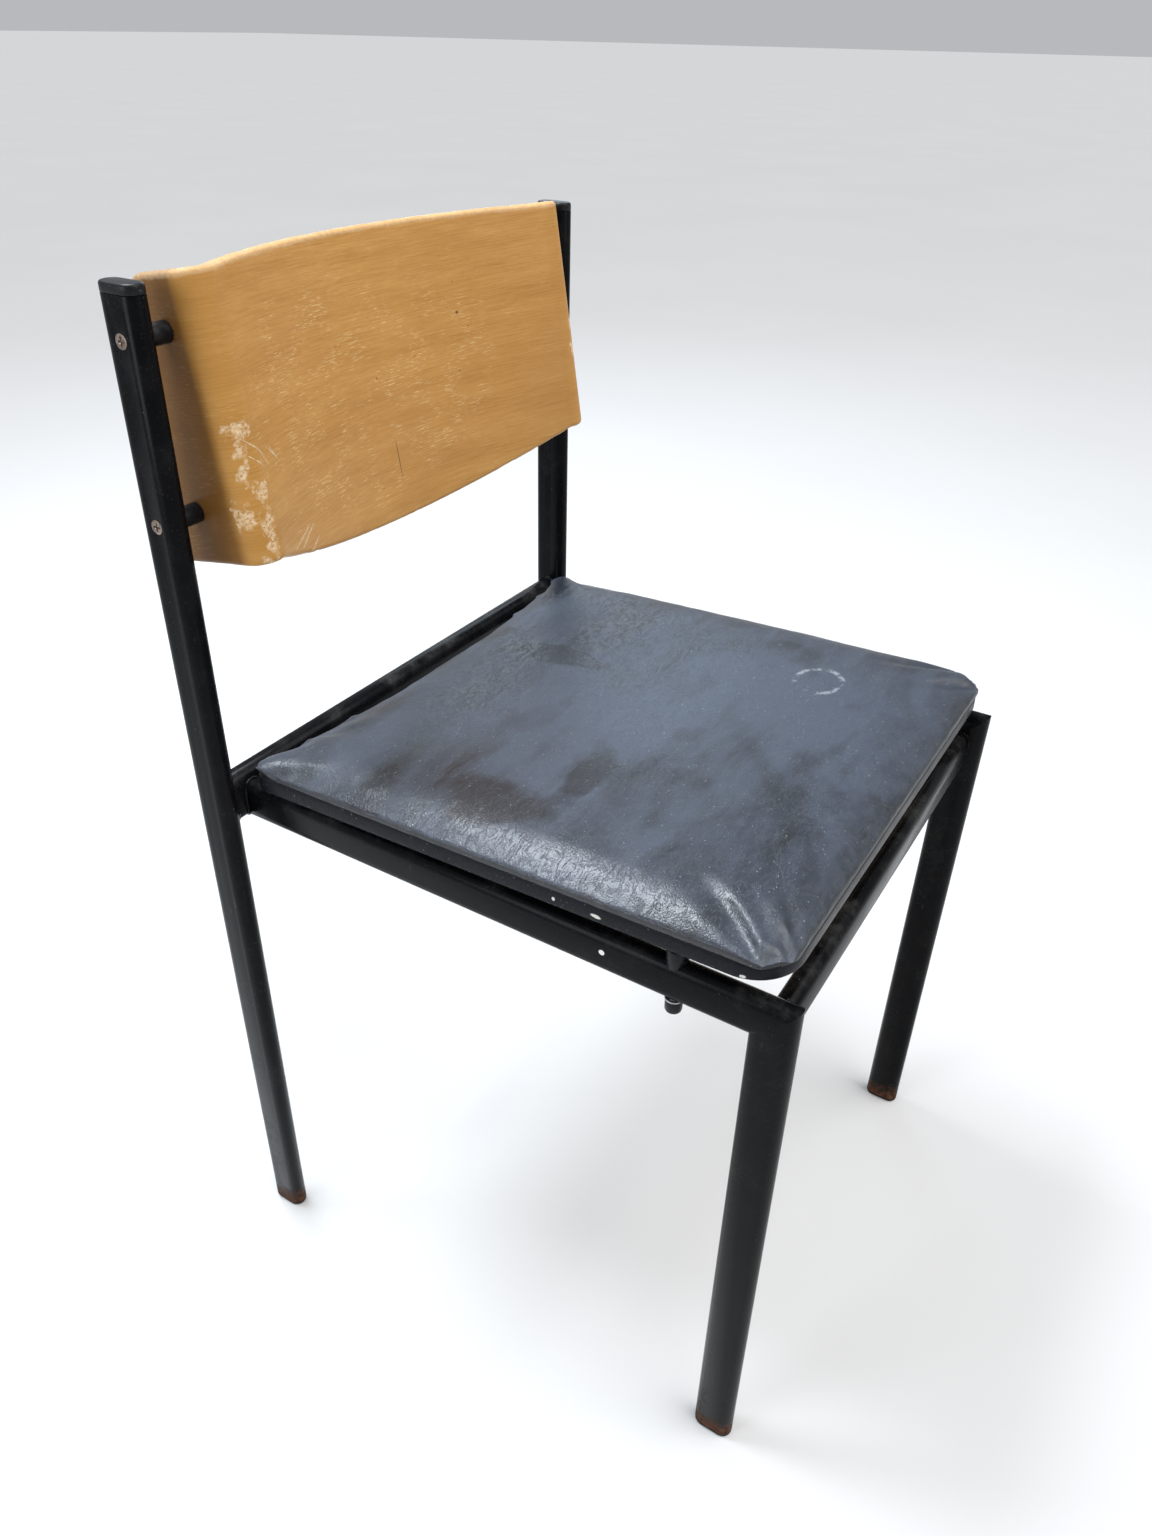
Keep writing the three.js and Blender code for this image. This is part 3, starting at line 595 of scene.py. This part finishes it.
def metal(name, clean, rust, cover):
    """Small steel hardware: clean is its metal colour, cover how far rust has spread."""
    f = Finish(name)
    spread = f.above(f.noise(420, 5, 0.7), 0.72 - cover, 0.84 - cover)
    brown = f.ramp(f.noise(900, 4), (0.3, rust), (0.7, tuple(2.3 * c for c in rust)))
    worn = f.ramp(f.noise(240, 4), (0.3, tuple(0.6 * c for c in clean)), (0.7, clean))
    f.set(Base_Color=f.blend(spread, worn, brown))
    f.set(Metallic=f.math("SUBTRACT", 0.95, f.math("MULTIPLY", spread, 0.75)))
    f.set(Roughness=f.math("ADD", f.math("MULTIPLY", spread, 0.35), 0.34))
    f.bump((f.noise(800, 4), 0.08))
    return f.material


# ---- Backrest ----
def rounded(radius, distance):
    """How far a round corner draws an edge in, at a distance from its end."""
    if distance >= radius:
        return 0.0
    return radius - math.sqrt(radius**2 - (radius - distance) ** 2)


def panel_stations():
    """Stations along the left half of the panel: (place along the front face, top, bottom,
    how far the section is drawn in, plan function of depth and height)."""
    bend_x = PANEL_SIDE - PANEL_BEND
    bend_y = PANEL_FRONT_Y + PANEL_BEND
    radius = bend_x / math.sin(PANEL_HALF_ARC) - PANEL_BEND
    centre_y = bend_y - (radius + PANEL_BEND) * math.cos(PANEL_HALF_ARC)
    flange_top = PANEL_TOP - PANEL_TOP_FALL
    flange_bottom = PANEL_BOTTOM + PANEL_BOTTOM_RISE
    arc_length = radius * PANEL_HALF_ARC
    turn_angle = PANEL_HALF_ARC + math.pi / 2
    stations = []

    def on_arc(angle):
        return lambda depth, height: (
            (radius + depth) * math.sin(angle),
            centre_y + (radius + depth) * math.cos(angle),
        )

    arc_steps = 44
    for i in range(arc_steps + 1):
        t = i / arc_steps
        top = PANEL_TOP - PANEL_TOP_FALL * t * t
        bottom = PANEL_BOTTOM + PANEL_BOTTOM_RISE * t * t
        stations.append((t * arc_length, top, bottom, 0.0, on_arc(t * PANEL_HALF_ARC)))

    def on_bend(angle):
        return lambda depth, height: (
            bend_x + (PANEL_BEND - depth) * math.sin(angle),
            bend_y - (PANEL_BEND - depth) * math.cos(angle),
        )

    turn_steps = 20
    for i in range(1, turn_steps + 1):
        turned = turn_angle * i / turn_steps
        place = arc_length + PANEL_BEND * turned
        plan = on_bend(turned - PANEL_HALF_ARC)
        stations.append((place, flange_top, flange_bottom, 0.0, plan))

    def rear_at(height):
        return (PANEL_FLANGE_REAR - height * math.sin(PANEL_TILT)) / math.cos(PANEL_TILT)

    top_length = rear_at(flange_top) - bend_y
    bottom_length = rear_at(flange_bottom) - bend_y
    top_scale = top_length / bottom_length
    corner = max(PANEL_BOTTOM_CORNER, PANEL_TOP_CORNER / top_scale)

    def on_flange(share):
        return lambda depth, height: (
            PANEL_SIDE - depth, bend_y + share * (rear_at(height) - bend_y)
        )

    straight = 8
    shares = [(1 - corner / bottom_length) * i / straight for i in range(1, straight + 1)]
    curve = 12
    for i in range(1, curve + 1):
        from_rear = corner * (1 - math.sin(math.pi / 2 * i / curve))
        shares.append(1 - from_rear / bottom_length)
    for share in shares:
        from_rear = (1 - share) * bottom_length
        top = flange_top - rounded(PANEL_TOP_CORNER, from_rear * top_scale)
        bottom = flange_bottom + rounded(PANEL_BOTTOM_CORNER, from_rear)
        drawn_in = min(rounded(PANEL_EDGE_ROUND, from_rear), PANEL_EDGE_ROUND - 0.7 * MM)
        place = arc_length + PANEL_BEND * turn_angle + share * bottom_length
        stations.append((place, top, bottom, drawn_in, on_flange(share)))
    return stations


def panel_section(top, bottom, drawn_in):
    """(depth, height, edge) points round the panel's section. Edge is 1 on the rim."""
    round_off = PANEL_EDGE_ROUND - drawn_in
    low, high = bottom + PANEL_EDGE_ROUND, top - PANEL_EDGE_ROUND
    back = PANEL_THICK - PANEL_EDGE_ROUND
    rows, quarter_steps = 26, 5

    def corner(depth, height, quarter):
        for i in range(quarter_steps + 1):
            angle = (quarter + i / quarter_steps) * math.pi / 2
            lift = abs(math.sin(angle))
            yield depth + round_off * math.cos(angle), height + round_off * math.sin(angle), lift

    def face(depth, start, end):
        for i in range(1, rows):
            yield depth, start + (end - start) * i / rows, 0.0

    front = PANEL_EDGE_ROUND
    return [
        *corner(back, low, -1), *face(back + round_off, low, high), *corner(back, high, 0),
        *corner(front, high, 1), *face(front - round_off, high, low), *corner(front, low, 2),
    ]


def backrest_panel(material):
    left = [(1, station) for station in panel_stations()]
    right = [(-1, station) for _, station in reversed(left[1:])]
    turn = Matrix.Rotation(-PANEL_TILT, 4, "X")
    place = Matrix.Translation((0, UPRIGHT.y, PANEL_PIVOT_Z)) @ turn
    rings, grain, edges = [], [], []
    last = left[-1][1][0]
    for side, (along, top, bottom, drawn_in, plan) in right + left:
        ring = []
        near_end = max(0.0, 1 - (last - along) / (2.5 * MM))
        for depth, height, edge in panel_section(top, bottom, drawn_in):
            wear = noise.fractal(Vector((side * along, height, depth)) * 95, 1.0, 2.0, 4)
            worn = max(0.0, wear - 0.15) * 0.9 * MM * max(edge, near_end)
            x, y = plan(depth, height)
            height -= math.copysign(worn, height)
            ring.append(place @ Vector((side * x, y, height)))
            grain.append((side * along, height, depth))
            edges.append(max(edge, near_end))
        rings.append(ring)
    mesh = skin("backrest_panel_surface", rings)
    ends = [(-last, 0, PANEL_THICK / 2), (last, 0, PANEL_THICK / 2)]
    attribute = mesh.attributes.new("grain", "FLOAT_VECTOR", "POINT")
    attribute.data.foreach_set("vector", [c for point in grain + ends for c in point])
    attribute = mesh.attributes.new("edge", "FLOAT", "POINT")
    attribute.data.foreach_set("value", edges + [1.0, 1.0])
    return piece("backrest_panel_surface", mesh, material, "beech_ply", "backrest_panel")


# ---- Seat ----
SEAT_PLACE = Matrix.Translation((0, UPRIGHT.y + SEAT_BEHIND, COVER_LOW.z)) @ Matrix.Rotation(
    -SEAT_SLOPE, 4, "X"
)


def seat_outline():
    """The pad's outline from above, anticlockwise, with its rear corners at Y 0."""
    w, d, r, f = SEAT_HALF_WIDTH, SEAT_DEPTH, SEAT_REAR_CORNER, SEAT_FRONT_CORNER

    def arc(x, y, radius, quarter, count):
        angles = [(quarter + i / count) * math.pi / 2 for i in range(count + 1)]
        return [(x + radius * math.cos(a), y + radius * math.sin(a)) for a in angles]

    def line(start, end, count):
        return [tuple(s + (e - s) * i / count for s, e in zip(start, end)) for i in range(1, count)]

    rear = []
    rear_steps = 60
    for i in range(1, rear_steps):
        t = 1 - 2 * i / rear_steps
        rear.append((t * (w - r), -SEAT_REAR_BOW * (1 - t * t)))
    return [
        *line((w, f - d), (w, -r), 56), *arc(w - r, -r, r, 0, 6), *rear,
        *arc(r - w, -r, r, 1, 6), *line((-w, -r), (-w, f - d), 56),
        *arc(f - w, f - d, f, 2, 12), *line((f - w, -d), (w - f, -d), 54),
        *arc(w - f, f - d, f, 3, 12),
    ]


OUTLINE = seat_outline()


def seat_ring(inset, height, rise=0.0):
    scale = 1 - inset / SEAT_HALF_WIDTH
    middle = -SEAT_DEPTH / 2
    ring = []
    for x, y in OUTLINE:
        y = middle + (y - middle) * scale
        fullness = 1 - SEAT_REAR_LOSS * math.exp(y / SEAT_REAR_REACH)
        ring.append(Vector((x * scale, y, height + rise * fullness)))
    return ring


def evaluated_copy(obj, name):
    """A plain mesh of the object with its modifiers applied."""
    bpy.context.view_layer.update()
    graph = bpy.context.evaluated_depsgraph_get()
    mesh = bpy.data.meshes.new_from_object(obj.evaluated_get(graph))
    mesh.name = name
    return mesh


def swell(mesh, pinned_below, frames=20, pressure=4.0, most=5 * MM):
    """Inflates a pad as cloth, holding everything below a height and capping each move."""
    work = bpy.data.objects.new("pad_work", mesh)
    bpy.context.scene.collection.objects.link(work)
    remesh = work.modifiers.new("Even", "REMESH")
    remesh.mode = "VOXEL"
    remesh.voxel_size = 4.6 * MM
    even = evaluated_copy(work, "pad_even")
    work.modifiers.clear()
    work.data = even
    rest = [v.co.copy() for v in even.vertices]
    held = work.vertex_groups.new(name="held")
    held.add([v.index for v in even.vertices if v.co.z < pinned_below], 1.0, "REPLACE")
    cloth = work.modifiers.new("Swell", "CLOTH")
    cloth.settings.use_pressure = True
    cloth.settings.uniform_pressure_force = pressure
    cloth.settings.effector_weights.gravity = 0
    cloth.settings.vertex_group_mass = "held"
    cloth.settings.bending_stiffness = 2.0
    for number in range(1, frames + 1):
        bpy.context.scene.frame_set(number)
    grown = evaluated_copy(work, "pad_swollen")
    work.modifiers.clear()
    work.data = grown
    bpy.context.scene.frame_set(1)
    for start, vertex in zip(rest, grown.vertices):
        move = vertex.co - start
        if move.length > most:
            vertex.co = start + move * (most / move.length)
    finer = work.modifiers.new("Fine", "SUBSURF")
    finer.levels = finer.render_levels = 1
    fine = evaluated_copy(work, "seat_pad")
    bpy.data.objects.remove(work)
    return fine


def fill_outline(mesh, gap=0.15 * MM):
    """Stretches the pad sideways until its rim meets the outline again."""
    side = max(v.co.x for v in mesh.vertices)
    rear = max(v.co.y for v in mesh.vertices)
    front = min(v.co.y for v in mesh.vertices)
    wide = (SEAT_HALF_WIDTH - gap) / side
    deep = (SEAT_DEPTH - 2 * gap) / (rear - front)
    for vertex in mesh.vertices:
        x, y, z = vertex.co
        vertex.co = (x * wide, (y - rear) * deep - gap, z)


def edge_distance(x, y):
    """Roughly how far inside the outline a point of the pad is."""
    bow = SEAT_REAR_BOW * (1 - min(1.0, abs(x) / SEAT_HALF_WIDTH) ** 2)
    return min(SEAT_HALF_WIDTH - abs(x), y + SEAT_DEPTH, -y - bow)


def shape_pad(mesh):
    """Adds the sat-on hollow, slack ripples and small puckers over the crease."""
    limit = SEAT_HALF_WIDTH
    for vertex in mesh.vertices:
        x, y, z = vertex.co
        if z < SEAT_CREASE:
            continue
        inside = edge_distance(x, y)
        top = min(1.0, (z - SEAT_CREASE) / (6 * MM))
        hollow = math.exp(-((x / 0.12) ** 2) - ((y + 0.16) / 0.13) ** 2)
        slack = noise.fractal(Vector((x * 9, y * 12, 0.3)), 1.0, 2.0, 3)
        near_edge = math.exp(-((inside - 22 * MM) / (16 * MM)) ** 2)
        ripple = noise.fractal(Vector((x * 46, y * 46, 2.7)), 0.8, 2.2, 3)
        z += top * (-2.0 * MM * hollow + 0.55 * MM * slack + 0.42 * MM * ripple * near_edge)
        pucker = math.exp(-((z - SEAT_CREASE - 2.5 * MM) / (2.6 * MM)) ** 2)
        wave = noise.noise(Vector((x * 85, y * 85, 5.0)))
        pull = 1 - 0.55 * MM * pucker * (0.6 + wave) / limit
        vertex.co = (x * pull, (y + SEAT_DEPTH / 2) * pull - SEAT_DEPTH / 2, z)


def seat_pad(material):
    """The padded top. Its bottom lies inside the band that wraps the board's edge."""
    levels = [(7 * MM, 10.2 * MM, 0), (3.6 * MM, 10.2 * MM, 0), (1.5 * MM, SEAT_CREASE, 0)]
    rings = [seat_ring(*level) for level in levels]
    count = 14
    for i in range(1, count + 1):
        reach = 1 - 0.96 * (i / count) ** 2
        inset = SEAT_HALF_WIDTH - (SEAT_HALF_WIDTH - 1.2 * MM) * reach
        rise = SEAT_CROWN * (1 - reach**8)
        rings.append(seat_ring(inset, SEAT_CREASE + 0.4 * MM, rise))
    mesh = swell(skin("seat_pad", rings), SEAT_CREASE - 0.4 * MM)
    fill_outline(mesh)
    shape_pad(mesh)
    mesh.transform(SEAT_PLACE)
    pad = piece("seat_pad", mesh, material, "vinyl", "seat_cover", "seat_foam", sharp=180)
    return pad


def seat_band(material):
    """The cover below the crease: down the board's edge and folded flat under it, gathered
    in small pleats at the corners."""
    profile = [
        (7, 12.3), (3.2, 12.3), (1.9, 12.25), (1.0, 11.9), (0.4, 11.2), (0.1, 9.6), (0, 7),
        (0, 4), (0.15, 1.8),
        (0.6, 0.75), (1.5, 0.3), (4, 0.25), (9, 0.25), (15, 0.25), (21, 0.3),
        (22, 0.7), (21, 1.3), (15, 1.4), (9, 1.4), (4, 1.4), (2.2, 1.6),
        (1.4, 2.6), (1.3, 6), (1.3, 9), (1.3, 10.7), (3.2, 11), (7, 11),
    ]
    rings = [seat_ring(inset * MM, height * MM) for inset, height in profile]
    corners = [
        Vector((side * (SEAT_HALF_WIDTH - 8 * MM), y, 0))
        for side in SIDES.values()
        for y in (-8 * MM, 10 * MM - SEAT_DEPTH)
    ]
    for (inset, height), ring in zip(profile, rings):
        for i, point in enumerate(ring):
            corner = min((point.xy - c.xy).length for c in corners)
            gathered = math.exp(-((corner / (30 * MM)) ** 2))
            spread = noise.noise(Vector((point.x * 60, point.y * 60, 1.0)))
            if inset > 2 and height < 1.5:
                point.z += 0.5 * MM * gathered * (1 + math.sin(i * 2.1)) / 2
            elif inset < 1 and 1 < height < 12:
                point.x -= math.copysign(0.16 * MM * (1 + spread), point.x)
                point.z += 0.12 * MM * spread
    mesh = skin("seat_band", rings, loop=True)
    mesh.transform(SEAT_PLACE)
    return piece("seat_band", mesh, material, "vinyl", "seat_cover", sharp=180)


def seat_staples(material):
    """Wire staples through the folded cover, about every 26 mm."""
    rng = random.Random(7)
    track = seat_ring(18.2 * MM, 0.0)
    lengths = [(track[i] - track[i - 1]).length for i in range(len(track))]
    spacing, crown, wire = 26 * MM, 11 * MM, 0.35 * MM
    travelled, staples = 0.0, []
    for i, length in enumerate(lengths):
        travelled += length
        if travelled < spacing:
            continue
        travelled = 0.0
        along = (track[i] - track[i - 1]).normalized()
        turn = Matrix.Rotation(math.radians(rng.uniform(-16, 16)), 3, "Z")
        along = turn @ along
        centre = track[i] + Vector((0, 0, 0.05 * MM))
        half = along * crown / 2
        sink = Vector((0, 0, 1.2 * MM))
        path = [centre - half + sink, centre - half, centre, centre + half, centre + half + sink]
        staples.append(rod(path, wire, sides=6))
    mesh = joined("seat_staples", staples)
    mesh.transform(SEAT_PLACE)
    return piece("seat_staples", mesh, material, "zinc_steel")


# ---- Welds ----
def oval_point(long, thick, share):
    """A point (across, along the long side) on a flat oval, share from 0 to 1 round it."""
    straight = (long - thick) / 2
    lengths = [2 * straight, math.pi * thick / 2, 2 * straight, math.pi * thick / 2]
    reach = share * sum(lengths)
    if reach < lengths[0]:
        return thick / 2, reach - straight
    reach -= lengths[0]
    if reach < lengths[1]:
        angle = 2 * reach / thick
        return thick / 2 * math.cos(angle), straight + thick / 2 * math.sin(angle)
    reach -= lengths[1]
    if reach < lengths[2]:
        return -thick / 2, straight - reach
    angle = 2 * (reach - lengths[2]) / thick
    return -thick / 2 * math.cos(angle), -straight - thick / 2 * math.sin(angle)


def oval_surface(offset, long, thick):
    """Half the width of a flat oval at an offset from its middle along the long side."""
    beyond = max(0.0, abs(offset) - (long - thick) / 2)
    return math.sqrt(max(0.0, (thick / 2) ** 2 - beyond**2))


def bead(points, size, seed):
    """A closed weld bead with the ripples of its passes."""
    rng = random.Random(seed)
    phase = rng.uniform(0, 6)

    def radius(i):
        ripple = 0.13 * math.sin(1.9 * i + phase)
        drift = 0.22 * noise.noise(Vector((i * 0.13, seed, 0.5)))
        return size * (1 + ripple + drift)

    return rod(points, radius, closed=True)


def weld_beads(material):
    long, thick = LEG_SIZE.y, LEG_SIZE.x
    rail_top = RAIL.z + RAIL_SIZE.z / 2
    rail_z = rail_top - long / 2
    steps = 84
    shares = [i / steps for i in range(steps)]
    for name, side in SIDES.items():
        saddle = []
        for share in shares:
            across, up = oval_point(long, thick, share)
            z = rail_z + up
            reach = oval_surface(z - REAR_BAR.z, REAR_BAR_SIZE.z, REAR_BAR_SIZE.y)
            saddle.append(Vector((side * RAIL.x + across, REAR_BAR.y - reach, z)))
        rear = []
        for share in shares:
            across, up = oval_point(REAR_BAR_SIZE.z, REAR_BAR_SIZE.y, share)
            reach = oval_surface(across, long, thick)
            rear.append(Vector((side * (UPRIGHT.x - reach), REAR_BAR.y + across, REAR_BAR.z + up)))
        front = []
        for share in shares:
            across, up = oval_point(FRONT_BAR_SIZE.z, FRONT_BAR_SIZE.y, share)
            y = FRONT_BAR.y + across
            reach = oval_surface(y - LEG.y, long, thick)
            front.append(Vector((side * (LEG.x - reach), y, FRONT_BAR.z + up)))
        joints = ((saddle, 1.5), (rear, 1.7), (front, 1.4))
        beads = [bead(path, size * MM, i) for i, (path, size) in enumerate(joints)]
        mesh = joined("weld_beads_" + name, beads)
        piece("weld_beads_" + name, mesh, material, "frame_lacquer")


# ---- The chair ----
LACQUER = black_lacquer()
PLASTIC = black_plastic()
PLY = beech_ply()
RAW_PLY = raw_ply()
# The band's copy has less shine and less of the dust film and its painted sheen.
VINYL = black_vinyl("black_vinyl", 0.62, 0.4)
BAND_VINYL = black_vinyl("black_vinyl_band", 0.12, 0.1)
RUSTY = metal("rusty_steel", (0.3, 0.24, 0.2), (0.055, 0.028, 0.016), 0.24)
ZINC = metal("zinc_steel", (0.55, 0.55, 0.56), (0.09, 0.05, 0.03), 0.06)
FINISHES = {
    "frame_lacquer": LACQUER, "black_plastic": PLASTIC, "raw_ply": RAW_PLY,
    "rusty_steel": RUSTY, "zinc_steel": ZINC,
}

for part in frame["record"]["subparts"]:
    if part["material_slot"] in FINISHES:
        refine(part["node"], FINISHES[part["material_slot"]], part["material_slot"])
backrest_panel(PLY)
seat_pad(VINYL)
seat_band(BAND_VINYL)
seat_staples(ZINC)
weld_beads(LACQUER)


# ---- Floor, light and camera ----
def floor():
    half = 80.0
    mesh = bpy.data.meshes.new("floor")
    corners = [(-half, -half, 0), (half, -half, 0), (half, half, 0), (-half, half, 0)]
    mesh.from_pydata(corners, [], [(0, 1, 2, 3)])
    obj = bpy.data.objects.new("floor", mesh)
    bpy.context.scene.collection.objects.link(obj)
    f = Finish("pale_floor")
    tone = f.ramp(f.noise(1.2, 3), (0.3, (0.66, 0.66, 0.66)), (0.7, (0.68, 0.68, 0.68)))
    f.set(Base_Color=tone, Roughness=0.8)
    mesh.materials.append(f.material)
    obj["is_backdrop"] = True


def softbox(name, place, target, size, power, color=(1, 1, 1)):
    light = bpy.data.lights.new(name, "AREA")
    light.shape = "RECTANGLE"
    light.size, light.size_y = size
    light.energy = power
    light.color = color
    obj = bpy.data.objects.new(name, light)
    obj.location = place
    obj.rotation_euler = (Vector(target) - Vector(place)).to_track_quat("-Z", "Y").to_euler()
    bpy.context.scene.collection.objects.link(obj)


def studio():
    world = bpy.data.worlds.new("studio")
    world.use_nodes = True
    background = world.node_tree.nodes["Background"]
    background.inputs["Color"].default_value = (0.95, 0.97, 1.0, 1.0)
    background.inputs["Strength"].default_value = 0.5
    bpy.context.scene.world = world
    bpy.context.scene.view_settings.view_transform = "Standard"

    sun = bpy.data.lights.new("daylight", "SUN")
    sun.energy = 1.9
    sun.angle = math.radians(50)
    obj = bpy.data.objects.new("daylight", sun)
    obj.rotation_euler = Vector((0.1, -0.55, 1)).to_track_quat("Z", "Y").to_euler()
    bpy.context.scene.collection.objects.link(obj)

    seat = (0, 0, 0.48)
    softbox("overhead", (-0.15, 0.85, 2.2), seat, (1.0, 0.7), 52, (0.86, 0.93, 1.0))
    softbox("window", (-2.1, 1.0, 1.15), seat, (0.9, 1.2), 17, (0.86, 0.93, 1.0))
    softbox("far_wall", (2.3, 1.6, 1.7), seat, (1.3, 0.9), 9, (0.7, 0.85, 1.0))
    softbox("key", (0.2, -2.3, 1.9), seat, (1.4, 1.0), 14, (1.0, 0.97, 0.92))


CAMERA_PLACE = Vector((-651, -360, 906)) * MM
CAMERA_TURN = (-58.7, 33.09, 1.17)  # azimuth, elevation and roll, in degrees
LENS = 26.68


def camera():
    data = bpy.data.cameras.new("camera")
    data.sensor_fit = "VERTICAL"
    data.sensor_height = 36
    data.lens = LENS
    obj = bpy.data.objects.new("camera", data)
    azimuth, elevation, roll = (math.radians(a) for a in CAMERA_TURN)
    turn = Matrix.Rotation(azimuth, 4, "Z") @ Matrix.Rotation(math.pi / 2 - elevation, 4, "X")
    obj.matrix_world = Matrix.Translation(CAMERA_PLACE) @ turn @ Matrix.Rotation(roll, 4, "Z")
    bpy.context.scene.collection.objects.link(obj)
    bpy.context.scene.camera = obj


floor()
studio()
camera()

boxes = {"cad": cad_box, "visual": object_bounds()}
{name: [list(corner) for corner in pair] for name, pair in boxes.items()}
